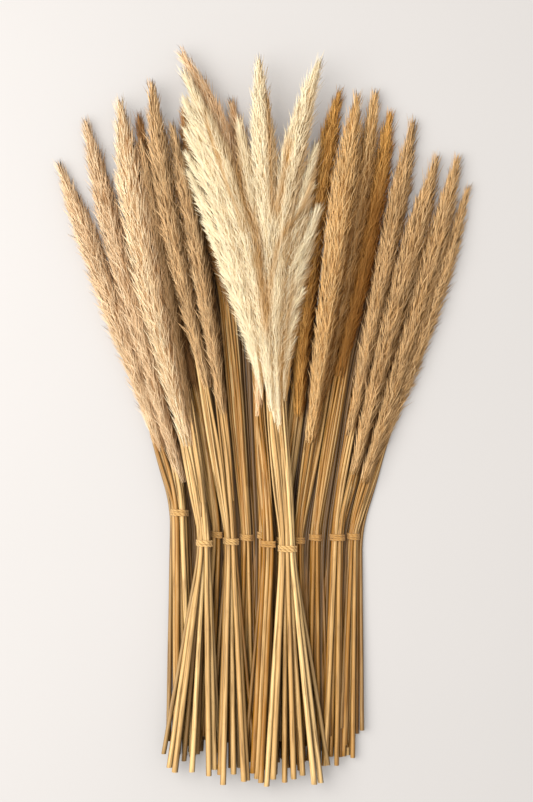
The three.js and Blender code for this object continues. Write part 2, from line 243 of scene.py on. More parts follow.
# Where each stem passes, as rows of x, y, z and radius: cut end, both sides of the tie, half way
# up, under its plume and inside it.
def stemPaths(bunch):
    look = stemLook
    wx, wy, wz = np.array(bunch["waist"]) * mm
    left, right, footY, level = np.array(bunch["feet"]) * mm
    foot = bunch["foot"] * mm
    thick = bunch["spacing"] * mm * look["swellAtTie"]
    low, high = wy - look["tieHalf"], wy + look["tieHalf"]
    across, up, rise = look["halfWay"]
    places = sorted(packPlaces(bunch), key=lambda p: (p["x"], p["z"]))
    paths, first = [], 0
    for plume in inOrder(bunch):
        mine = sorted(places[first:first + plume["stalks"]], key=lambda p: (p["z"], p["x"]))
        first += plume["stalks"]
        ends = sorted(stalkPlaces(plume["stalks"]), key=lambda e: (e[1], e[0]))
        for place, end in zip(mine, ends):
            inset = foot + (0 if place["row"] % 2 else look["inset"] * (right - left - 2 * foot))
            x = mix(left + inset, right - inset, place["share"])
            y = footY + (nextShare() - 0.5) * look["scatter"] - place["row"] * look["setBack"]
            r = foot * mix(*look["footSizes"], nextShare())
            z = level + r * np.cos(np.pi / look["solidSides"]) + place["row"] * 2 * foot * look["rowRise"]
            tipX, tipY, tipZ = np.array(plume["base"]) * mm + (end[0], -0.3 * mm, end[1])
            midX, midZ = wx + place["x"], wz + place["z"]
            paths.append(np.array([
                (x, y, z, r),
                (midX, low, midZ, thick),
                (midX, high, midZ, thick),
                (mix(midX, tipX, across), mix(high, tipY, up), mix(midZ, tipZ, rise),
                 mix(thick, look["neck"], 0.5)),
                (tipX, tipY, tipZ, look["neck"]),
                (*alongPlume(plume, look["endAt"]), look["end"]),
            ]))
    return paths


# Sides of the tube; metres from ring to ring, which a full stem doesn't have, as it has stations and
# more rings at its nodes; share of the painted light; and how much paler than its bunch it is, which
# for the low stems behind is painted shade.
culmKinds = {"stem": (12, None, 1.0, 0), "thin": (8, 0.022, 0.9, 0), "low": (8, 0.022, 0.6, -0.3),
             "old": (6, 0.04, 0.65, 0)}
# wave and flute: swing of the radius along and round a culm. bevel and dish: radius and depth of the
# first three rings. light: its way across and up.
culmLook = {
    "stations": 58, "window": 42 * mm, "nodeStep": (0.15, 0.25), "nodeStart": (0.02, 0.12), "nodes": 6,
    "nodeClear": 0.05, "nodeSwell": 0.03, "nodeHalf": 2.6 * mm,
    "nodeRings": np.array([-5, -2, -0.5, 1, 3, 7]) * mm, "wave": 0.025, "waveTurn": 31, "flute": 0.02,
    "bevel": np.array([0.55, 0.93, 1.0]), "dish": np.array([0.9, 0, 0.5]) * mm, "tints": 0.45,
    "light": (-0.35, 0.94), "steep": 1.25, "edge": 0.1, "least": 0.1,
}


# Straight-line route through the path's points, averaged over a window that narrows to nothing at
# both ends, so that the stem bends softly but ends where the path does.
def softRoute(path, y):
    reach = np.minimum(culmLook["window"], np.minimum(y - path[0, 1], path[-1, 1] - y))
    offsets = np.linspace(-1, 1, 9)[:, None] * np.maximum(reach, 0)
    return [np.mean(np.interp(y + offsets, path[:, 1], path[:, i]), axis=0) for i in (0, 2, 3)]


# A culm is a round tube over level rings: x and z follow the route, the radius swells at each
# node by a bell curve, and the cut end is bevelled and dished. Values are tint, node mark, pith and
# light, which is full where the wall faces up and to the left and the least at its sides.
def culm(path, pale, rng, kind):
    look = culmLook
    sides, step, light, paler = culmKinds[kind]
    low, high = path[0, 1], path[-1, 1]
    nodes = low + np.cumsum(rng.uniform(*look["nodeStep"], look["nodes"])) - rng.uniform(*look["nodeStart"])
    nodes = nodes[nodes < high - look["nodeClear"]]
    y = np.linspace(low, high, round(10 + (high - low) / step) if step else look["stations"])
    if not step:
        near = (nodes[:, None] + look["nodeRings"]).ravel()
        y = np.sort(np.concatenate([y, near[(near > low) & (near < high)]]))
    x, z, r = softRoute(path, y)
    bell = np.exp(-((y[:, None] - nodes) / look["nodeHalf"]) ** 2).sum(axis=1)
    r = r * (1 + look["nodeSwell"] * bell * (not step))
    r = r * (1 + look["wave"] * np.sin((y - low) * look["waveTurn"] + rng.uniform(0, 6)))
    y = np.concatenate([low + look["dish"] - 0.5 * mm, y[1:]])
    x = np.concatenate([np.full(3, x[0]), x[1:]])
    z = np.concatenate([np.full(3, z[0]), z[1:]])
    r = np.concatenate([r[0] * look["bevel"], r[1:]])
    bell = np.concatenate([np.zeros(3), bell[1:]])
    pith = np.concatenate([[1, 0.5, 0], np.zeros(len(y) - 3)])
    turn = -np.pi / 2 + np.arange(sides) / sides * 2 * np.pi
    flute = 1 + look["flute"] * np.cos(3 * turn + rng.uniform(0, 6))
    rings = np.stack([
        x[:, None] + r[:, None] * flute * np.cos(turn),
        np.repeat(y[:, None], sides, axis=1),
        z[:, None] + r[:, None] * flute * np.sin(turn),
    ], axis=-1)
    points = withPoles([x[0], y[0] + 0.1 * mm, z[0]], rings, [x[-1], y[-1] + 0.5 * mm, z[-1]])
    points[:, 2] = np.maximum(points[:, 2], 0.1 * mm)
    # painted shade: the low stems behind take a darker tint
    tint = np.clip(pale + paler + rng.uniform(-look["tints"], look["tints"]), 0, 1)
    across, up = look["light"]
    lit = up * np.sin(turn) + across * np.cos(turn) - look["edge"]
    lit = light * np.clip(look["least"] + look["steep"] * lit, 0, 1)
    flat = np.stack([np.full(len(y), tint), bell, pith], axis=-1).repeat(sides, axis=0)
    flat = np.concatenate([flat, np.maximum(np.tile(lit, len(y)), flat[:, 2])[:, None]], axis=1)
    values = withPoles([tint, 0, 1, 1], flat, [tint, 0, 0, 1])
    return points, tubeTriangles(len(y), sides), values, tubeMap(y, sides, rng.uniform(0, 10))


# tail: where in the plume a stalk ends. Depths are against a stem of the pack, its plume's base and the
# plume's middle line.
thinLook = {
    "radius": 2.8 * mm, "sizes": (0.8, 1.15), "tail": (0.2, 0.28), "past": 1.5 * mm, "fromTie": 10 * mm,
    "insideDepth": (-3, 2), "underDepth": (-7, 2), "halfDepth": (-4, 5), "tailDepth": -3 * mm,
    "tailSpread": 14 * mm, "bow": 3, "clear": 0.2 * mm,
}


# Thin stalks start in the pack just under the tie and rise side by side, the left ones to the left
# plume and the right ones to the right one. They pass under the plume's first hairs and end in it.
def thinStalks(bunch, paths, rng):
    look = thinLook
    pack = np.array([path[1, 0] for path in paths])
    middle, wide = (pack.max() + pack.min()) / 2, (pack.max() - pack.min()) / 2 + look["past"]
    plumes = inOrder(bunch)
    limits = np.cumsum([0] + [plume["stalks"] for plume in plumes]) / len(paths)
    count, spread = bunch["loose"][0], bunch["loose"][1] * mm
    stalks = []
    for share in (rng.permutation(count) + rng.uniform(0.1, 0.9, count)) / count:
        which = min(np.searchsorted(limits, share) - 1, len(plumes) - 1)
        local = 2 * (share - limits[which]) / (limits[which + 1] - limits[which]) - 1
        base = alongPlume(plumes[which], 0)
        tail = alongPlume(plumes[which], rng.uniform(*look["tail"]))
        mate = paths[rng.integers(len(paths))]
        low, high = mate[1, 1], mate[2, 1]
        side = 2 * share - 1
        inside = np.array([middle + wide * side, mate[1, 2] + rng.uniform(*look["insideDepth"]) * mm])
        under = base[[0, 2]] + np.array([local * spread * 0.8, rng.uniform(*look["underDepth"]) * mm])
        within = tail[[0, 2]] + np.array([local * min(spread, look["tailSpread"]) * 0.5, look["tailDepth"]])
        half = mix(inside, under, 0.5) + np.array([side * look["bow"], rng.uniform(*look["halfDepth"])]) * mm
        r = look["radius"] * rng.uniform(*look["sizes"])
        path = np.array([
            (inside[0], low + look["fromTie"], inside[1], r),
            (inside[0], high, inside[1], r * 1.05),
            (half[0], mix(high, base[1], 0.5), half[1], r),
            (under[0], base[1], under[1], r * 0.85),
            (within[0], tail[1], within[1], r * 0.6),
        ])
        path[:, 2] = np.maximum(path[:, 2], path[:, 3] + look["clear"])
        stalks.append(path)
    return stalks


# grounded: lower than this a bunch lies on the ground. beyond: past the fan of cut ends on each side.
# margin: past the pack at the tie, on the ground and above it. spread: half way, at the base, at the tail.
lowLook = {
    "radius": 5.4 * mm, "sizes": (0.82, 1.05), "tail": (0.1, 0.18), "grounded": 10 * mm, "beyond": 16 * mm,
    "margin": (10 * mm, 2 * mm), "depth": 4, "footUp": 50, "spread": (17 * mm, 22 * mm, 10 * mm),
    "levels": (4.2 * mm, 4 * mm, 5 * mm), "above": 70 * mm,
}


# Low stems lie behind the others and end a little higher than they do. Those of a bunch on the
# ground run on up past the outside of the tie and end under a plume; the others end above the tie.
def lowStems(bunch, paths, rng):
    look = lowLook
    left, right, footY, level = np.array(bunch["feet"]) * mm
    pack = np.array([path[1, 0] for path in paths])
    plumes = inOrder(bunch)
    grounded = level < look["grounded"]
    margin = look["margin"][0 if grounded else 1]
    atTie, upward, resting = look["levels"]
    count = bunch["loose"][2]
    stems = []
    for k, share in enumerate((rng.permutation(count) + rng.uniform(0.2, 0.8, count)) / count):
        mate = paths[rng.integers(len(paths))]
        low, high = mate[1, 1], mate[2, 1]
        r = look["radius"] * rng.uniform(*look["sizes"])
        x = mix(left - look["beyond"], right + look["beyond"], share)
        z = max(level - look["grounded"], 0) + r + (k % 2) * 1.8 * r
        inside = mix(pack.min() - margin, pack.max() + margin, share)
        deep = mate[1, 2] - rng.uniform(0, look["depth"]) * mm
        foot = (x, footY + rng.uniform(0, look["footUp"]) * mm, z, r)
        if grounded:
            plume = plumes[min(int(share * len(plumes)), len(plumes) - 1)]
            base, tail = alongPlume(plume, 0), alongPlume(plume, rng.uniform(*look["tail"]))
            halfX, baseX, tailX = ((share - 0.5) * wide for wide in look["spread"])
            stems.append(np.array([
                foot,
                (inside, low, atTie, r * 0.7),
                (inside, high, atTie, r * 0.65),
                (mix(inside, base[0], 0.5) + halfX, mix(high, base[1], 0.5), upward, r * 0.55),
                (base[0] + baseX, base[1], resting, r * 0.45),
                (tail[0] + tailX, tail[1], resting, r * 0.35),
            ]))
        else:
            stems.append(np.array([
                foot,
                (inside, low, deep, r * 0.72),
                (inside, high, deep, r * 0.62),
                (mix(inside, mate[3, 0], 0.3), high + look["above"], deep, r * 0.5),
            ]))
    return stems


# count: stalks in a gap, and more of them where the waists are further apart than wide. at: shares of
# the way, where -2 is the foot, -1 the waist and 0 the plume's base, before the one where it ends.
shadeFillLook = {
    "count": 13, "more": 5, "wide": 20, "at": (-2, -1, -0.45, 0, 0.2), "ends": (0.46, 0.72),
    "radius": (2.8, 4.8), "footUp": 22, "scatter": 0.07, "past": 0.15, "clear": 0.2 * mm, "pale": 0.4,
}


# Dark stalks as painted shade lie on the ground in the gap between two neighbouring plumes and under
# their stems, from above the cut ends up to where the plumes part. Each side gives a plume, its waist and
# its feet.
def shadeFillStalks(first, second, rng):
    look = shadeFillLook
    count = look["count"] + (abs(second[1][0] - first[1][0]) > look["wide"]) * look["more"]
    stalks = []
    for share in (np.arange(count) + rng.random(count)) / count * (1 + 2 * look["past"]) - look["past"]:
        last = rng.uniform(*look["ends"])
        r = rng.uniform(*look["radius"]) * mm
        line = []
        for t in (*look["at"], last):
            ends = []
            for plume, waist, feet in (first, second):
                foot = np.array([(feet[0] + feet[1]) / 2, feet[2] + look["footUp"], 0]) * mm
                ends.append(alongPlume(plume, t) if t >= 0 else
                            foot if t == -2 else mix(alongPlume(plume, 0), np.array(waist) * mm, -t))
            x, y, _ = mix(*ends, share)
            y += (t == -2) * rng.uniform(0, look["scatter"])
            line.append((x, y, look["clear"] + r, r * (1 if t <= 0 else 1.1 - t)))
        stalks.append(np.array(line))
    return stalks


# thick and tall: half the section outwards and along the stems. pitch: from turn to turn. clear: from
# the stems. ply: how much the two plies bulge. lay: length in which they turn once. The turns wobble
# along the stems and lift off them in slow waves.
twineLook = {
    "turns": 3, "stations": 100, "sides": 10, "thick": 1.2 * mm, "tall": 2.3 * mm, "pitch": 4.4 * mm,
    "clear": 0.42 * mm, "ply": 0.09, "lay": 10 * mm, "wobble": 0.35 * mm, "lift": 0.5 * mm, "closer": 0.98,
    "wobbleTurn": 1.4, "liftTurn": 0.7, "directions": 721,
}


# The line a taut string takes round the pack: the outermost stem in each direction, pushed out
# by its radius, then spaced evenly by length.
def tightLine(bunch, count):
    places = np.array([(p["x"], p["z"]) for p in packPlaces(bunch)])
    turn = np.linspace(-np.pi / 2, 1.5 * np.pi, twineLook["directions"])
    way = np.stack([np.cos(turn), np.sin(turn)], axis=-1)
    reach = bunch["spacing"] * mm * stemLook["swellAtTie"] + twineLook["clear"] + twineLook["thick"]
    line = places[np.argmax(way @ places.T, axis=1)] + way * reach
    line[-1] = line[0]
    steps = np.concatenate([[0], np.cumsum(np.linalg.norm(np.diff(line, axis=0), axis=1))])
    even = np.linspace(0, steps[-1], count, endpoint=False)
    return np.stack([np.interp(even, steps, line[:, i]) for i in (0, 1)], axis=-1), steps[-1]


# Twine wound as a helix over the tight line. Its section is an ellipse with two plies: the radius
# swings with twice the angle about a lay that turns along the line.
def twine(bunch, rng):
    look = twineLook
    n, turns, sides = look["stations"], look["turns"], look["sides"]
    line, length = tightLine(bunch, n)
    route = np.tile(line, (turns, 1))
    tangent = unit(np.roll(line, -1, axis=0) - np.roll(line, 1, axis=0))
    outward = np.tile(np.stack([tangent[:, 1], -tangent[:, 0]], axis=-1), (turns, 1))
    count = n * turns
    turned = np.arange(count) / n
    wobble = look["wobble"] * np.sin(turned * 2 * np.pi * look["wobbleTurn"] + rng.uniform(0, 6))
    y = (turned - turns / 2) * look["pitch"] * look["closer"] + wobble
    lift = look["lift"] * np.sin(turned * 2 * np.pi * look["liftTurn"] + rng.uniform(0, 6)) ** 2
    angle = np.arange(sides) / sides * 2 * np.pi
    lay = turned[:, None] * length / look["lay"] * 2 * np.pi
    ply = 1 + look["ply"] * np.cos(2 * angle - lay)
    ends = np.minimum(1, np.minimum(np.arange(count) + 1, count - np.arange(count)) / 3)[:, None]
    out = look["thick"] * np.cos(angle) * ply * ends + lift[:, None]
    up = look["tall"] * np.sin(angle) * ply * ends
    wx, wy, wz = np.array(bunch["waist"]) * mm
    rings = np.stack([
        wx + route[:, None, 0] + outward[:, None, 0] * out,
        wy + y[:, None] + up,
        wz + route[:, None, 1] + outward[:, None, 1] * out,
    ], axis=-1)
    points = withPoles(rings[0].mean(axis=0), rings, rings[-1].mean(axis=0))
    points[:, 2] = np.maximum(points[:, 2], 0.1 * mm)
    # painted shade in the grooves: 1 on the crest of a ply, 0 in the groove, where the colour is darkest
    grooveShade = 0.5 + 0.5 * np.cos(2 * angle - lay)
    values = np.stack([grooveShade, np.broadcast_to(bunch["pale"], grooveShade.shape), grooveShade * 0], axis=-1)
    values = withPoles(values[0, 0], values, values[-1, 0])
    return points, tubeTriangles(count, sides), values, tubeMap(turned * length, sides)


# branches, tufts and fringe: to a metre of plume. hairs: to a square metre of length times radius, and
# onBranch the share of them on branches. reach, dense and limit: how far out branches, hairs and their
# tips are. lean: degrees off the plume's way, and curl how late that is. locks: streaks of one tint.
# shaded: how much painted shade the far side has. beyond: share of the length past the tip. deepest and
# palest: painted shade at the middle line, and tone of the darkest tufts. Sizes in metres.
softLook = {
    "branches": 150, "branchLength": 0.11, "reach": (0.5, 0.76), "hairs": 357000, "onBranch": 0.3,
    "hairLength": 0.026, "hairWidth": 0.0013, "lean": (5, 22), "locks": 30, "limit": 0.86, "dense": 0.68,
    "tufts": 1700, "tuftLength": 0.042, "tuftWidth": 0.0012, "tuftLean": (4, 22), "curl": 1.4,
    "fringe": 2100, "fringeLength": 0.044, "fringeWidth": 0.0013, "fringeLean": (8, 38),
    "shaded": 0.92, "beyond": 0.035, "deepest": 0.15, "palest": 0.66,
}
barbedLook = softLook | {
    "branches": 200, "branchLength": 0.1, "reach": (0.5, 0.8), "onBranch": 0.4, "hairLength": 0.022,
    "lean": (8, 28), "locks": 24, "limit": 0.88, "dense": 0.7, "tufts": 1800, "tuftLength": 0.034,
    "tuftWidth": 0.0014, "tuftLean": (6, 26), "curl": 1.3, "fringe": 2000, "fringeLength": 0.042,
    "fringeWidth": 0.0012, "fringeLean": (8, 36), "palest": 0.6,
}
silkyLook = softLook | {
    "branches": 170, "branchLength": 0.12, "reach": (0.6, 0.95), "onBranch": 0.35, "hairLength": 0.028,
    "locks": 20, "limit": 0.98, "dense": 0.8, "tuftLength": 0.046, "fringeLength": 0.048, "shaded": 0.86,
    "deepest": 0.5, "palest": 0.82,
}
lobeLook = barbedLook | {
    "branchLength": 0.05, "hairs": 251000, "hairLength": 0.016, "dense": 0.5, "tufts": 1300,
    "tuftLength": 0.026, "tuftWidth": 0.0013, "tuftLean": (6, 30), "fringe": 1900, "fringeLength": 0.03,
    "fringeWidth": 0.0011, "fringeLean": (10, 46), "shaded": 0.3, "beyond": 0.16, "deepest": 0.5,
    "palest": 0.8,
}
plumeLooks = {"soft": softLook, "barbed": barbedLook, "silky": silkyLook}
facingOut = 0.5  # share of a hair's surface that faces out of the plume as a whole
hairFlat, strandFlat = 0.45, 0.85  # depth against width
strandAt = np.array([0, 0.5, 1.0])  # where a strand's three places are along it
strandForm = np.array([0.75, 1.0, 0])  # how wide it is there
coreLook = {"share": 0.46, "rings": 60, "sides": 28, "from": 0.04, "to": 0.97, "pole": 0.015}
neckSizes = (0, 3.4, 6, 6.4, 6.8, 8.4)  # mm, by the number of stalks
earlyStart = -0.04  # hair that starts before this share of a plume makes its foot wider
footForms = {True: {"below": 0.13, "growth": 0.56}, False: {"below": 0, "growth": 0.72}}
tipLook = {"closing": 0.28, "power": 0.64}


# A plume's feathery radius over its length, as a share of its widest: it grows by a power of the way
# from below its base up to where it is full, stays, and closes by a power over its last part.
def swell(plume, t):
    below, full = plume["below"], plume["full"]
    rise = (np.clip(t + below, 0.001, full + below) / (full + below)) ** plume["growth"]
    return rise * np.clip((1 - t) / tipLook["closing"], 0.001, 1) ** tipLook["power"]


# Middle of the plume at share t of its curve, with the directions up and sideways from it. The
# curve is the quadratic one over base, bend and tip; past its end it runs straight on.
def spine(plume, t):
    base, bend, tip = plume["points"]
    s = np.clip(t, 0, 1)[..., None]
    along = unit(2 * (1 - s) * (bend - base) + 2 * s * (tip - bend))
    middle = (1 - s) ** 2 * base + 2 * s * (1 - s) * bend + s ** 2 * tip
    middle = middle + along * ((t - np.clip(t, 0, 1)) * plume["length"])[..., None]
    up = unit(np.array([0, 0, 1.0]) - along * along[..., 2:])
    return middle, up, np.cross(along, up)


# Point out from the middle line by r in the direction of angle, and that direction.
def outFrom(plume, t, angle, r):
    middle, up, side = spine(plume, t)
    out = up * np.cos(angle)[..., None] + side * np.sin(angle)[..., None]
    return middle + out * r[..., None], out


pressLook = {"low": 1.4 * mm, "least": 0.3 * mm, "soft": 0.012, "above": 1 * mm, "most": 0.007}


# Hair that would go into the ground is pressed flat on it, and the highest is pressed down a little:
# past a limit, the rest of the way is shortened by an exponential curve.
def pressed(points):
    z, look = points[..., 2], pressLook
    low, high, most = look["low"], cadBox[1][2] + look["above"], look["most"]
    flat = look["least"] + (low - look["least"]) * np.exp(np.minimum(z - low, 0) / look["soft"])
    z = np.where(z < low, flat, z)
    z = np.where(z > high, high + most * (1 - np.exp(-np.maximum(z - high, 0) / most)), z)
    points[..., 2] = z
    return points


# Radius of a plume: the feathers' and, joined to it like the sides of a right angle, that of the
# stalks, which fades by a high power of the way up.
def bodyRadius(plume, t, share=1.0):
    return np.hypot(share * plume["wide"] * swell(plume, t), plume["neck"] * (1 - np.clip(t, 0, 1)) ** 8)


# The dense middle: a spindle whose radius follows the swell, rippled along its length.
def plumeCore(plume, rng):
    look = coreLook
    rings, sides = look["rings"], look["sides"]
    t = np.linspace(plume["start"] + look["from"], look["to"], rings)[:, None]
    angle = np.arange(sides) / sides * 2 * np.pi
    phase = rng.uniform(0, 6, 3)
    ripple = 1 + 0.07 * np.sin(7 * angle + 26 * t + phase[0]) + 0.05 * np.sin(4 * angle - 41 * t + phase[1])
    r = bodyRadius(plume, t, look["share"]) * np.minimum(1, 0.4 + 8 * (t - t[0])) * ripple
    t, angle = np.broadcast_to(t, r.shape), np.broadcast_to(angle, r.shape)
    points, out = outFrom(plume, t, angle, r)
    poles, _ = outFrom(plume, np.array([t[0, 0] - look["pole"], 0.98]), np.zeros(2), np.zeros(2))
    # painted shade: the core is dark, standing in for the shaded depth between the hairs
    shade = 0.2 + 0.1 * np.sin(11 * angle + 30 * t + phase[2])
    values = np.stack([shade, np.full(shade.shape, 0.5), t], axis=-1)
    return (pressed(withPoles(poles[0], points, poles[1])), tubeTriangles(rings, sides),
            withPoles(values[0, 0], values, values[-1, -1]), withPoles((0, -1, 0), out, (0, 1, 0)))


# Directions round a flat hair that runs along ahead: three for each hair, the first one outwards
# but for the hair's own roll.
def hairRing(ahead, out, roll, depth):
    out = unit(out - ahead * np.sum(out * ahead, axis=-1, keepdims=True))
    across = np.cross(ahead, out)
    turn = np.arange(3)[:, None] / 3 * 2 * np.pi
    roll = roll[..., None, None]
    deep, wide = depth * np.cos(turn), np.sin(turn)
    return (out[..., None, :] * (deep * np.cos(roll) - wide * np.sin(roll))
            + across[..., None, :] * (deep * np.sin(roll) + wide * np.cos(roll)))


# The way a hair's surface faces for the light: mostly out of the plume, partly round the hair.
def hairFacing(out, ring):
    return unit(facingOut * out[..., None, :] + (1 - facingOut) * ring)


# Every ring's value three times, and the tip's once.
def forPoints(values):
    return np.concatenate([np.repeat(values[:, :-1], 3, axis=1), values[:, -1:]], axis=1)


# Hairs: closed and three-sided, with a ring of points at every place along them but the last one, which
# is their tip.
def strands(plume, t, angle, r, width, shade, tint, roll, depth):
    middle, out = outFrom(plume, t, angle, r)
    count, size = len(t), 3 * t.shape[1] - 2
    ring = hairRing(unit(np.gradient(middle, axis=1))[:, :-1], out[:, :-1], roll[:, None], depth)
    rings = middle[:, :-1, None] + ring * width[:, :-1, None, None] / 2
    points = np.concatenate([rings.reshape(count, -1, 3), middle[:, -1:]], axis=1)
    facing = np.concatenate([hairFacing(out[:, :-1], ring).reshape(count, -1, 3), out[:, -1:]], axis=1)
    sides = ((0, 1), (1, 2), (2, 0))
    form = [(0, 2, 1)]
    for low in range(0, size - 4, 3):
        form += [(low + a, low + b, low + 3 + b) for a, b in sides]
        form += [(low + a, low + 3 + b, low + 3 + a) for a, b in sides]
    form += [(size - 4 + a, size - 4 + b, size - 1) for a, b in sides]
    triangles = (np.array(form) + np.arange(count)[:, None, None] * size).reshape(-1, 3)
    shade, share = forPoints(shade), forPoints(t)
    values = np.stack([shade, np.broadcast_to(tint[:, None], shade.shape), share], axis=-1)
    return pressed(points.reshape(-1, 3)), triangles, values.reshape(-1, 3), facing.reshape(-1, 3)


# up and across: the way the light comes from. edge: light where lit turns to dark. steep: how fast it
# changes there. open: where the neighbours stop keeping it off, and kept the share they still do then.
# clear: where the dim part ends.
lightLook = {"up": 0.52, "across": -0.6, "edge": 0.42, "steep": 1.15, "open": (0.45, 0.5), "kept": 0.45,
             "clear": (0.6, 0.28)}


# How light the hair at this angle round a plume is: lightest up and to the left, darkest under and to
# the right, where its neighbours keep the light off, and less so towards the tip.
def litShare(plume, look, t, angle):
    light = lightLook
    lit = light["up"] * np.cos(angle) + light["across"] * np.sin(angle)
    lit = np.clip(light["edge"] + light["steep"] * lit, 0, 1)
    kept = mix(1, light["kept"], ramp(t, *light["open"]))
    share = 1 - look["shaded"] * plume["shaded"] * kept * (1 - lit)
    return share * mix(plume["dim"], 1, ramp(t, *light["clear"]))


# Hair leans off less near both ends of a plume.
def leanShare(plume, t):
    return mix(0.35, 1, ramp(t, plume["start"], 0.2)) * mix(1, 0.5, ramp(t, 0.7, 0.3))


# Painted shade by depth: from the deepest at the middle line, by a power of the radius, to full light at the
# rim.
def depthShade(plume, look, t, r):
    depth = np.clip(r / (bodyRadius(plume, np.clip(t, 0.01, 0.98)) + 1 * mm), 0, 1)
    return mix(look["deepest"], 1, depth ** 1.5)


# Where along a plume the hairs at these shares of their number grow: closest where it is widest.
def grownAt(plume, share, last):
    radius = bodyRadius(plume, np.linspace(plume["start"], 0.99, 200)) + 7 * mm
    return np.interp(share, np.cumsum(radius) / radius.sum(), np.linspace(plume["start"], last, 200))


# Branches leave the middle line by the golden angle and sweep up to the feathery radius.
def plumeBranches(plume, look, rng):
    count = int(plume["length"] * look["branches"])
    start = mix(plume["start"], 0.93, (np.arange(count) + rng.random(count)) / count)
    angle = np.arange(count) * goldenAngle + rng.normal(0, 0.3, count)
    span = look["branchLength"] * mix(1, 0.55, start) * rng.uniform(0.75, 1.15, count) / plume["length"]
    end = np.minimum(start + span, rng.uniform(0.965, 1.012, count))
    root = 0.75 * bodyRadius(plume, start, coreLook["share"])
    rim = bodyRadius(plume, np.clip(end, 0.01, 0.985)) * rng.uniform(*look["reach"], count)
    drift = rng.normal(0, 0.16, count)
    tint = np.clip(rng.normal(0.55, 0.15, count), 0, 1)
    return {"start": start, "end": end, "angle": angle, "drift": drift, "root": root, "rim": rim,
            "tint": tint}


# Share of the plume, angle and distance from its middle line at this share of a branch.
def alongBranch(branch, at):
    t = mix(branch["start"], branch["end"], at)
    return t, branch["angle"] + branch["drift"] * at, mix(branch["root"], branch["rim"], at ** 0.8)


# Each branch as one strand, a little paler than the hairs on it.
def branchStrands(plume, look, branches, rng):
    count = len(branches["start"])
    t, a, r = alongBranch({key: value[:, None] for key, value in branches.items()}, strandAt)
    width = np.array([1.4, 1.0, 0]) * mm * rng.uniform(0.85, 1.15, (count, 1))
    shade = depthShade(plume, look, t, r) * litShare(plume, look, t, a)
    tint = np.clip(branches["tint"] + 0.2, 0, 1)
    return strands(plume, t, a, r, width, shade, tint, np.zeros(count), strandFlat)


# Outer hairs run from their roots by size, off to a side by the lean and round the plume by the turn,
# by a power of the way, and end a little past the plume's tip at most.
def outerLine(plume, look, root, lean, turn, size, curl, rng):
    t, a, r = root
    most = 1 + look["beyond"] * (1 - 0.86 * rng.random(len(t)))
    endT = np.minimum(t + size * np.cos(lean) / plume["length"], most)
    endR = r + size * np.sin(lean) * np.cos(turn)
    endA = a + size * np.sin(lean) * np.sin(turn) / np.maximum(r, 8 * mm)
    pairs = ((t, endT, 1), (a, endA, 1), (r, endR, curl))
    return [mix(first[:, None], last[:, None], strandAt ** power) for first, last, power in pairs]


# Tufts grow evenly by the golden angle, from inside the feathery radius.
def tuftStrands(plume, look, rng):
    count = int(plume["length"] * look["tufts"])
    t = grownAt(plume, (np.arange(count) + rng.random(count)) / count, 0.975)
    a = np.arange(count) * goldenAngle + rng.normal(0, 0.25, count)
    slim = 1 - 0.7 * ramp(t, 0.85, 0.13)
    r = bodyRadius(plume, np.clip(t, 0, 0.99)) * rng.uniform(0.5, 0.74, count) * slim
    lean = np.radians(rng.uniform(*look["tuftLean"], count)) * leanShare(plume, t)
    size = look["tuftLength"] * rng.uniform(0.6, 1.2, count) * mix(1.0, 0.75, np.clip(t, 0, 1))
    turn = rng.normal(0, 0.5, count)
    t, a, r = outerLine(plume, look, (t, a, r), lean, turn, size, look["curl"], rng)
    width = look["tuftWidth"] * strandForm * rng.uniform(0.6, 1.15, (count, 1))
    shade = rng.uniform(look["palest"], 1.1, (count, 1)) * mix(look["palest"], 1.1, strandAt)
    shade = np.clip(shade, 0, 1) * litShare(plume, look, t, a)
    return strands(plume, t, a, r, width, shade, rng.uniform(0.2, 1, count), np.zeros(count), strandFlat)


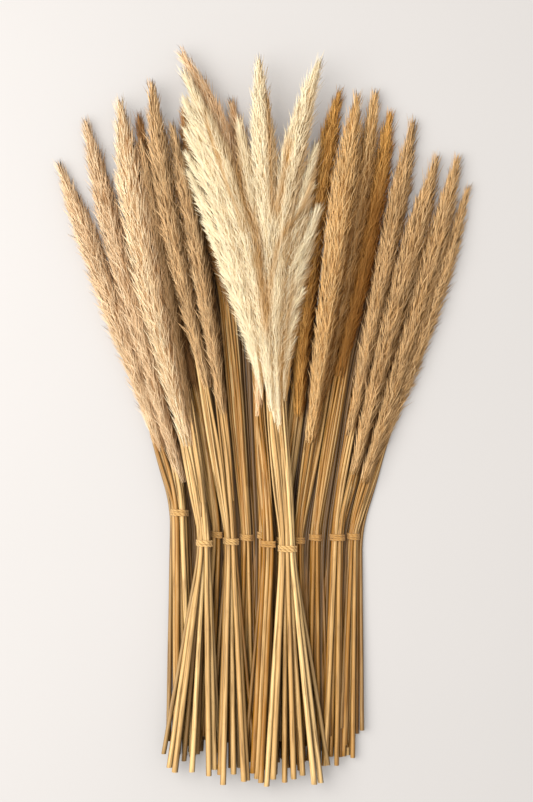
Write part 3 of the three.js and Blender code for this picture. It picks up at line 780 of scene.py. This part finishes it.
# Some of the body's hairs grow from the branches; the others grow from all over it, in locks of one
# tint. A hair leans off to all sides, most of them outwards, but stays inside the feathery radius.
def bodyHairs(plume, look, branches, rng):
    total = int(look["hairs"] * plume["length"] * plume["wide"])
    own = rng.random(total) < look["onBranch"]
    which = rng.integers(0, len(branches["start"]), total)
    branch = {key: value[which] for key, value in branches.items()}
    ownT, ownA, ownR = alongBranch(branch, rng.random(total))
    spread = grownAt(plume, rng.random(total), 0.985)
    around = rng.uniform(0, 2 * np.pi, total)
    t0 = np.where(own, ownT, spread)
    body = bodyRadius(plume, np.clip(t0, 0, 0.99)) * look["dense"]
    slim = 1 - 0.6 * ramp(t0, 0.85, 0.13)
    r0 = np.where(own, ownR, body * rng.uniform(0.45, 0.95, total)) * slim
    a0 = np.where(own, ownA + rng.normal(0, 0.04, total), around)

    locks, stretches = look["locks"], 7
    lock = (around / 2 / np.pi + 0.12 * spread) * locks + rng.normal(0, 0.25, total)
    lock, stretch = lock.astype(int) % locks, (np.clip(spread, 0, 0.99) * stretches).astype(int)
    lockTint = np.clip(rng.normal(0.5, 0.25, (locks, stretches)), 0, 1)
    dark = rng.uniform(0.35, 0.8, (locks, stretches))
    lockShade = mix(1, dark, rng.random((locks, stretches)) < 0.3)

    lean = np.radians(rng.uniform(*look["lean"], total))
    turn = rng.normal(0, 1.2, total)
    size = look["hairLength"] * rng.uniform(0.55, 1.25, total) * mix(1.0, 0.72, np.clip(t0, 0, 1))
    t1 = t0 + size * np.cos(lean) / plume["length"]
    t1 = np.where(t1 > 0.97, 0.97 + (t1 - 0.97) * 0.9 * rng.uniform(0.6, 1, total), t1)
    r1 = r0 + size * (np.sin(lean) * np.cos(turn) + 0.07)
    most = bodyRadius(plume, np.clip(t1, 0, 0.97)) * look["limit"] * np.clip((1.06 - t1) / 0.09, 0.02, 1)
    r1 = np.clip(r1, 0.4 * mm, most * rng.uniform(0.8, 1, total) + 0.6 * mm)
    a1 = a0 + size * np.sin(lean) * np.sin(turn) / np.maximum(r0, 8 * mm)
    width = look["hairWidth"] * rng.uniform(0.45, 1.2, total)[:, None] * (1, 0)
    t, a, r = (np.stack(pair, axis=1) for pair in ((t0, t1), (a0, a1), (r0, r1)))
    shade = np.clip(depthShade(plume, look, t, r) + rng.normal(0, 0.12, (total, 1)), 0, 1)
    tint = np.where(own, branch["tint"], lockTint[lock, stretch]) + rng.normal(0, 0.15, total)
    shade = shade * litShare(plume, look, t, a) * np.where(own, 1, lockShade[lock, stretch])[:, None]
    return strands(plume, t, a, r, width, shade, np.clip(tint, 0, 1), rng.normal(0, 0.6, total), hairFlat)


# The fringe: single hairs all over, which lean off further than the tufts.
def fringeStrands(plume, look, rng):
    count = int(plume["length"] * look["fringe"])
    t = grownAt(plume, rng.random(count), 0.98)
    r = bodyRadius(plume, np.clip(t, 0, 0.99)) * rng.uniform(0.45, 0.7, count)
    a = rng.uniform(0, 2 * np.pi, count)
    lean = np.radians(rng.uniform(*look["fringeLean"], count)) * leanShare(plume, t)
    turn = rng.normal(0, 0.6, count)
    size = look["fringeLength"] * rng.uniform(0.5, 1.15, count) * mix(1.0, 0.8, np.clip(t, 0, 1))
    t, a, r = outerLine(plume, look, (t, a, r), lean, turn, size, 1.15, rng)
    shade = rng.uniform(look["palest"], 1, (count, 1)) * litShare(plume, look, t, a)
    width = look["fringeWidth"] * strandForm * rng.uniform(0.7, 1.2, (count, 1))
    return strands(plume, t, a, r, width, shade, rng.uniform(0.3, 1, count), np.zeros(count), strandFlat)


# All the hair of a plume.
def plumeHairs(plume, look, rng):
    branches = plumeBranches(plume, look, rng)
    return [branchStrands(plume, look, branches, rng), tuftStrands(plume, look, rng),
            bodyHairs(plume, look, branches, rng), fringeStrands(plume, look, rng)]


valleyShadeLook = {"depth": 0.62, "fade": 0.03}


# How much painted light is left in the valleys: one less a bell curve over the distance from each line.
def valleyShare(points):
    share = np.ones(len(points))
    for wide, line in creamValleyShade:
        line = np.array(line) * mm
        y = points[:, 1] - centring[1]
        away = points[:, 0] - centring[0] - np.interp(y, line[::-1, 1], line[::-1, 0])
        past = np.maximum(0, np.maximum(y - line[0, 1], line[-1, 1] - y))
        near = np.exp(-(away / (wide * mm)) ** 2 - (past / valleyShadeLook["fade"]) ** 2)
        share *= 1 - valleyShadeLook["depth"] * near
    return share


# A plume in metres where it lies, with its length as the sum of 64 short steps along its curve.
def readyPlume(data):
    points = [np.array(data[k]) * mm + centring for k in ("base", "bend", "tip")]
    plume = data | footForms[data["start"] < earlyStart] | {
        "points": points, "wide": data["wide"] * mm, "neck": neckSizes[data["stalks"]] * mm, "length": 1}
    line, _, _ = spine(plume, np.linspace(0, 1, 65))
    plume["length"] = np.sum(np.linalg.norm(np.diff(line, axis=0), axis=1))
    return plume


lobeForm = {"out": 50, "back": 94, "wide": 7}


# A side tuft of the cream plumes: it comes from further in and further down, by straight steps, and
# both its ends lie higher the further up it is.
def creamLobe(side, x, y):
    base = np.array([x - side * lobeForm["out"], y - lobeForm["back"], 52 + y / 22])
    tip = np.array([x, y, 48 + y / 40])
    return readyPlume(plumeAt(base, mix(base, tip, 0.5), tip, lobeForm["wide"], 0, start=0.0))


# sRGB text such as d6b184 to linear colour, by the sRGB curve.
def colour(text):
    c = np.array([int(text[i:i + 2], 16) for i in (0, 2, 4)]) / 255
    c = np.where(c <= 0.04045, c / 12.92, ((c + 0.055) / 1.055) ** 2.4)
    return (*c, 1)


# A material with one principled shader; settings are values of its sockets.
def newMaterial(name, **settings):
    material = bpy.data.materials.new(name)
    material.use_nodes = True
    tree = material.node_tree
    tree.nodes.clear()
    shader = tree.nodes.new("ShaderNodeBsdfPrincipled")
    output = tree.nodes.new("ShaderNodeOutputMaterial")
    tree.links.new(shader.outputs["BSDF"], output.inputs["Surface"])
    for socket, value in settings.items():
        shader.inputs[socket.replace("_", " ")].default_value = value
    return material, tree, shader


# A node with its sockets linked or set, and its settings.
def addNode(tree, kind, inputs=(), **settings):
    node = tree.nodes.new(kind)
    for key, value in settings.items():
        setattr(node, key, value)
    for socket, value in dict(inputs).items():
        if isinstance(value, bpy.types.NodeSocket):
            tree.links.new(value, node.inputs[socket])
        else:
            node.inputs[socket].default_value = value
    return node


# The first colour at share none, the second at full share.
def mixColour(tree, share, first, second, blend="MIX"):
    node = addNode(tree, "ShaderNodeMix", {0: share, 6: first, 7: second}, data_type="RGBA", blend_type=blend)
    return node.outputs[2]


# The value as it runs from low to high, turned into one that runs from first to last.
def ranged(tree, value, low, high, first, last):
    return addNode(tree, "ShaderNodeMapRange", {
        "Value": value, "From Min": low, "From Max": high, "To Min": first, "To Max": last}).outputs["Result"]


# Soft noise, as one value.
def noise(tree, place, scale, detail):
    node = addNode(tree, "ShaderNodeTexNoise", {"Vector": place, "Scale": scale, "Detail": detail})
    return node.outputs["Fac"]


# Noise on a tube's own map, stretched along it and turned.
def tubeNoise(tree, stretch, scale, detail, turn=0):
    place = addNode(tree, "ShaderNodeUVMap", uv_map="along").outputs["UV"]
    mapping = addNode(tree, "ShaderNodeMapping", {
        "Vector": place, "Scale": stretch, "Rotation": (0, 0, turn)})
    return noise(tree, mapping.outputs[0], scale, detail)


# The tone attribute's red, green and blue, and its alpha.
def toneParts(tree):
    tone = addNode(tree, "ShaderNodeAttribute", attribute_name="tone").outputs
    parts = addNode(tree, "ShaderNodeSeparateColor", {"Color": tone["Color"]}).outputs
    return parts["Red"], parts["Green"], parts["Blue"], tone["Alpha"]


# Colour, and roughness and bump that follow the fibre.
def dress(tree, shader, body, fibre, rough, strength, distance):
    tree.links.new(body, shader.inputs["Base Color"])
    tree.links.new(ranged(tree, fibre, 0, 1, *rough), shader.inputs["Roughness"])
    bump = addNode(tree, "ShaderNodeBump", {"Height": fibre, "Strength": strength, "Distance": distance})
    tree.links.new(bump.outputs["Normal"], shader.inputs["Normal"])


# Dry fibre: soft patches a few centimetres across and fine streaks, as one value for each.
def fibreGroup():
    group = bpy.data.node_groups.new("dryFibre", "ShaderNodeTree")
    for label, scale in (("Patch Scale", 20.0), ("Streak Scale", 400.0)):
        socket = group.interface.new_socket(name=label, in_out="INPUT", socket_type="NodeSocketFloat")
        socket.default_value = scale
    for label in ("Patch", "Streak"):
        group.interface.new_socket(name=label, in_out="OUTPUT", socket_type="NodeSocketFloat")
    given = group.nodes.new("NodeGroupInput").outputs
    made = group.nodes.new("NodeGroupOutput").inputs
    place = addNode(group, "ShaderNodeTexCoord").outputs["Object"]
    stretched = addNode(group, "ShaderNodeMapping", {"Vector": place, "Scale": (1, 0.12, 1)}).outputs[0]
    group.links.new(noise(group, place, given["Patch Scale"], 2), made["Patch"])
    group.links.new(noise(group, stretched, given["Streak Scale"], 2), made["Streak"])
    return group


# Style, slot and three colours: deep, the painted shade between the hairs and on the far side, pale at
# their lit tips, and the warm one that some branches lean to.
hairLooks = {
    "rose": ("soft", "plume_tan", "8e5c26", "fbe2bc", "e3b684"),
    "dusk": ("soft", "plume_tan", "54340e", "f2ce9c", "d09c62"),
    "sand": ("soft", "plume_tan", "a2631e", "fff3cf", "f8cb92"),
    "honey": ("soft", "plume_tan", "bc7c3c", "ffe9c4", "ffca90"),
    "cream": ("silky", "plume_cream", "be8434", "fdf2d2", "fbe6b8"),
    "wheat": ("barbed", "plume_brown", "74450a", "ffdaa0", "eeb062"),
    "fawn": ("barbed", "plume_brown", "543208", "f8d09a", "d29c5a"),
    "amber": ("barbed", "plume_brown", "724006", "fcc674", "e49e46"),
    "umber": ("soft", "plume_brown", "4c2a08", "d5a067", "b67f48"),
}


# Hair colour runs from deep to pale by the painted shade in the tone attribute's red, leans to warm by
# its green, and soft patches darken it a little.
def hairMaterial(name, paints, fibre):
    deep, pale, warm = (colour(paint) for paint in paints)
    material, tree, shader = newMaterial(name, Roughness=0.8, Specular_IOR_Level=0.2)
    red, green, _, _ = toneParts(tree)
    soft = addNode(tree, "ShaderNodeGroup", node_tree=fibre)
    soft.inputs["Patch Scale"].default_value = 16
    soft.inputs["Streak Scale"].default_value = 260
    hair = mixColour(tree, red, deep, mixColour(tree, green, warm, pale))
    dim = ranged(tree, soft.outputs["Patch"], 0.3, 0.7, 0.88, 1.04)
    tree.links.new(mixColour(tree, 1.0, hair, dim, "MULTIPLY"), shader.inputs["Base Color"])
    rough = ranged(tree, soft.outputs["Streak"], 0.3, 0.7, 0.66, 0.9)
    tree.links.new(rough, shader.inputs["Roughness"])
    return material


# side: painted shade on the sides of a culm away from the light. The second straw is dark all over as painted
# shade for the stalks in the gaps.
strawLooks = {
    "straw": {"dark": "9a6612", "light": "e2bc7e", "shadow": "704a14", "side": "36220a", "mark": "7a4e1e",
              "pith": "f2e2bd"},
    "shadeFillStraw": {"dark": "5a3a0a", "light": "8c6220", "shadow": "3a2405", "side": "201303", "mark": "3a2405",
                 "pith": "8c6220"},
}


# Straw: long streaks on the stem's own map, a tint for each stem, brown rings at the nodes, painted shade
# on the sides away from the light, pale pith at the cut end.
def strawMaterial(name):
    material, tree, shader = newMaterial(name, Roughness=0.45, Specular_IOR_Level=0.4, Coat_Weight=0.08)
    paint = {key: colour(value) for key, value in strawLooks[name].items()}
    tint, node, pith, light = toneParts(tree)
    streak = tubeNoise(tree, (6, 6, 1), 1.6, 4)
    blotch = tubeNoise(tree, (1.6, 4.5, 1), 2.2, 2)
    body = mixColour(tree, tint, paint["dark"], paint["light"])
    body = mixColour(tree, ranged(tree, streak, 0.5, 0.66, 0, 0.85), body, paint["shadow"])
    body = mixColour(tree, ranged(tree, blotch, 0.5, 0.75, 0, 0.35), body, paint["light"])
    mark = addNode(tree, "ShaderNodeMath", {0: node, 1: 0.15}, operation="MULTIPLY").outputs[0]
    body = mixColour(tree, mark, body, paint["mark"])
    # painted shade: the sides away from the light turn to the side colour
    body = mixColour(tree, light, paint["side"], body)
    body = mixColour(tree, pith, body, paint["pith"])
    dress(tree, shader, body, streak, (0.32, 0.6), 0.35, 0.0005)
    return material


# groove: painted shade in the grooves between the plies. aged: for the bunches of darker straw.
raffiaLook = {"light": "e6c48a", "dark": "b48746", "grooveShade": "84581f", "aged": "9c6a2a"}


# Twine: pale plies with painted shade in the grooves between them, fibres that follow the lay, and a
# browner tint on the bunches of darker straw.
def raffiaMaterial():
    material, tree, shader = newMaterial("raffia", Roughness=0.8, Specular_IOR_Level=0.25, Sheen_Weight=0.15)
    paint = {key: colour(value) for key, value in raffiaLook.items()}
    ply, pale, _, _ = toneParts(tree)
    fibre = tubeNoise(tree, (7, 90, 1), 1.8, 3, 0.5)
    body = mixColour(tree, fibre, paint["dark"], paint["light"])
    # painted shade in the grooves between the plies
    body = mixColour(tree, ranged(tree, ply, 0, 0.45, 0.75, 0), body, paint["grooveShade"])
    body = mixColour(tree, ranged(tree, pale, 0.2, 0.7, 0.65, 0), body, paint["aged"])
    dress(tree, shader, body, fibre, (0.65, 0.95), 0.5, 0.0006)
    return material


view = {"height": 4.0, "pictureHeight": 1.644, "middle": (0.0074, 0.0343), "level": 0.03}
keyLight = {"at": (-1.8, 0.3, 2.6), "size": 3.0, "power": 135, "tint": (1.0, 0.985, 0.955)}
surround = {"colour": (1.0, 0.98, 0.95, 1), "strength": 0.92}


# A new object with this data, in the scene.
def newObject(name, data):
    thing = bpy.data.objects.new(name, data)
    bpy.context.scene.collection.objects.link(thing)
    return thing


# The camera looks straight down, with a lens that shows the picture's height at the bundle's level.
def addCamera():
    camera = newObject("camera", bpy.data.cameras.new("camera"))
    camera.location = (*view["middle"], view["height"])
    camera.data.lens = camera.data.sensor_width * (view["height"] - view["level"]) / view["pictureHeight"]
    bpy.context.scene.camera = camera


# One large lamp that faces the bundle, and an even surround.
def addLights():
    scene = bpy.context.scene
    lamp = bpy.data.lights.new("key", "AREA")
    lamp.energy, lamp.size, lamp.color = keyLight["power"], keyLight["size"], keyLight["tint"]
    holder = newObject("key", lamp)
    holder.location = keyLight["at"]
    away = scene.camera.location.copy()
    away.z = 0
    holder.rotation_euler = (holder.location - away).to_track_quat("Z", "Y").to_euler()
    world = bpy.data.worlds.new("surround")
    world.use_nodes = True
    background = world.node_tree.nodes["Background"].inputs
    background["Color"].default_value = surround["colour"]
    background["Strength"].default_value = surround["strength"]
    scene.world = world
    scene.view_settings.view_transform = "Standard"
    scene.cycles.diffuse_bounces = 8


floorLook = {"half": 6.0, "first": "a7a5a4", "second": "adaaa9", "glow": (0.8, 0.76, 0.72, 1), "glowing": 0.2}


# A pale floor with faint clouds that glows a little, like the wall in daylight.
def addFloor():
    look = floorLook
    material, tree, shader = newMaterial("floorPaint", Roughness=0.7, Specular_IOR_Level=0.2,
                                         Emission_Color=look["glow"], Emission_Strength=look["glowing"])
    cloud = noise(tree, addNode(tree, "ShaderNodeTexCoord").outputs["Object"], 1.3, 2)
    paint = mixColour(tree, cloud, colour(look["first"]), colour(look["second"]))
    tree.links.new(paint, shader.inputs["Base Color"])
    mesh = bpy.data.meshes.new("floor")
    corners = [(x * look["half"], y * look["half"], 0) for x, y in ((-1, -1), (1, -1), (1, 1), (-1, 1))]
    mesh.from_pydata(corners, [], [(0, 1, 2, 3)])
    mesh.materials.append(material)
    floor = newObject("floor", mesh)


# Points, triangles and per-point values go into the mesh as whole arrays. The parts' last array is the
# way hair faces for the light, or a tube's own map. Tubes still have to be moved as the solids were.
def addPiece(name, parts, material, nodes, hair=False):
    points, triangles, values, last = joinParts(parts)
    if not hair:
        points = points + centring
    if nodes == ["bunch09_plumes"]:  # the cream plumes, with valleys between them
        # painted shade in the valleys between the cream plumes
        values[:, 0] *= valleyShare(points)
    mesh = bpy.data.meshes.new(name)
    mesh.vertices.add(len(points))
    mesh.vertices.foreach_set("co", points.astype(np.float32).ravel())
    mesh.loops.add(triangles.size)
    mesh.loops.foreach_set("vertex_index", triangles.astype(np.int32).ravel())
    mesh.polygons.add(len(triangles))
    mesh.polygons.foreach_set("loop_start", np.arange(0, triangles.size, 3, dtype=np.int32))
    mesh.update(calc_edges=True)
    mesh.shade_smooth()
    tone = mesh.color_attributes.new("tone", "FLOAT_COLOR", "POINT")
    packed = np.concatenate([values, np.ones((len(points), 4 - values.shape[1]))], axis=1)
    tone.data.foreach_set("color", packed.astype(np.float32).ravel())
    if hair:
        mesh.normals_split_custom_set_from_vertices(last)
    else:
        layer = mesh.uv_layers.new(name="along")
        layer.data.foreach_set("uv", last[triangles.ravel()].astype(np.float32).ravel())
    mesh.materials.append(material)
    piece = newObject(name, mesh)
    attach(piece, "root")
    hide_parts(*nodes)
    return len(triangles)


addCamera()
addLights()
addFloor()
print("stage 2: camera, light and floor")

seeds = {"stems": 500, "old": 77, "plumes": 900, "creamSide": 1290, "creamLobes": 1300}
fibre = fibreGroup()
straw, shadeFillStraw, raffia = strawMaterial("straw"), strawMaterial("shadeFillStraw"), raffiaMaterial()
hairs = {name: hairMaterial(name + "Hair", look[2:], fibre) for name, look in hairLooks.items()}
row = []

for index, bunch in enumerate(bunches):
    number = f"{index + 1:02d}"
    rng = np.random.default_rng(seeds["stems"] + index)
    paths = stemPaths(bunch)
    kinds = {"stem": paths, "thin": thinStalks(bunch, paths, rng), "low": lowStems(bunch, paths, rng)}
    parts = [culm(path, bunch["pale"], rng, kind) for kind in kinds for path in kinds[kind]]
    addPiece("stems" + number, parts, straw, [f"bunch{number}_stems"])
    addPiece("twine" + number, [twine(bunch, rng)], raffia, [f"bunch{number}_tie"])
    row += [(plume, bunch["waist"], bunch["feet"], number) for plume in bunch["plumes"][:4]]  # longest

# Dark stalks in the gaps between the plumes, as painted shade.
rng = np.random.default_rng(seeds["old"])
row.sort(key=lambda entry: entry[0]["base"][0])
for k, (first, second) in enumerate(zip(row, row[1:])):
    parts = [culm(path, shadeFillLook["pale"], rng, "old") for path in shadeFillStalks(first[:3], second[:3], rng)]
    addPiece(f"old{k + 1:02d}", parts, shadeFillStraw, [f"bunch{first[3]}_stems"])
print("stage 3: stems and ties")

total = 0
for index, bunch in enumerate(bunches):
    number = f"{index + 1:02d}"
    for k, data in enumerate(bunch["plumes"]):
        kind = data["look"] or bunch["look"]
        style, slot = hairLooks[kind][:2]
        rng = np.random.default_rng(seeds["plumes"] + 10 * index + k)
        plume = readyPlume(data)
        node = f"bunch{number}_plumes" if kind == "cream" else f"bunch{number}_plume_{'ab'[k]}"
        parts = [plumeCore(plume, rng)] + plumeHairs(plume, plumeLooks[style], rng)
        total += addPiece(f"plume{number}{'abcdef'[k]}", parts, hairs[kind], [node], True)

rng = np.random.default_rng(seeds["creamSide"])
plume = readyPlume(creamSide)
parts = [plumeCore(plume, rng)] + plumeHairs(plume, silkyLook, rng)
for k, tip in enumerate(creamTips):
    parts += plumeHairs(creamLobe(*tip), lobeLook, np.random.default_rng(seeds["creamLobes"] + k))
total += addPiece("plume09g", parts, hairs["cream"], ["bunch09_plumes"], True)
print("stage 4: plumes,", total, "triangles")
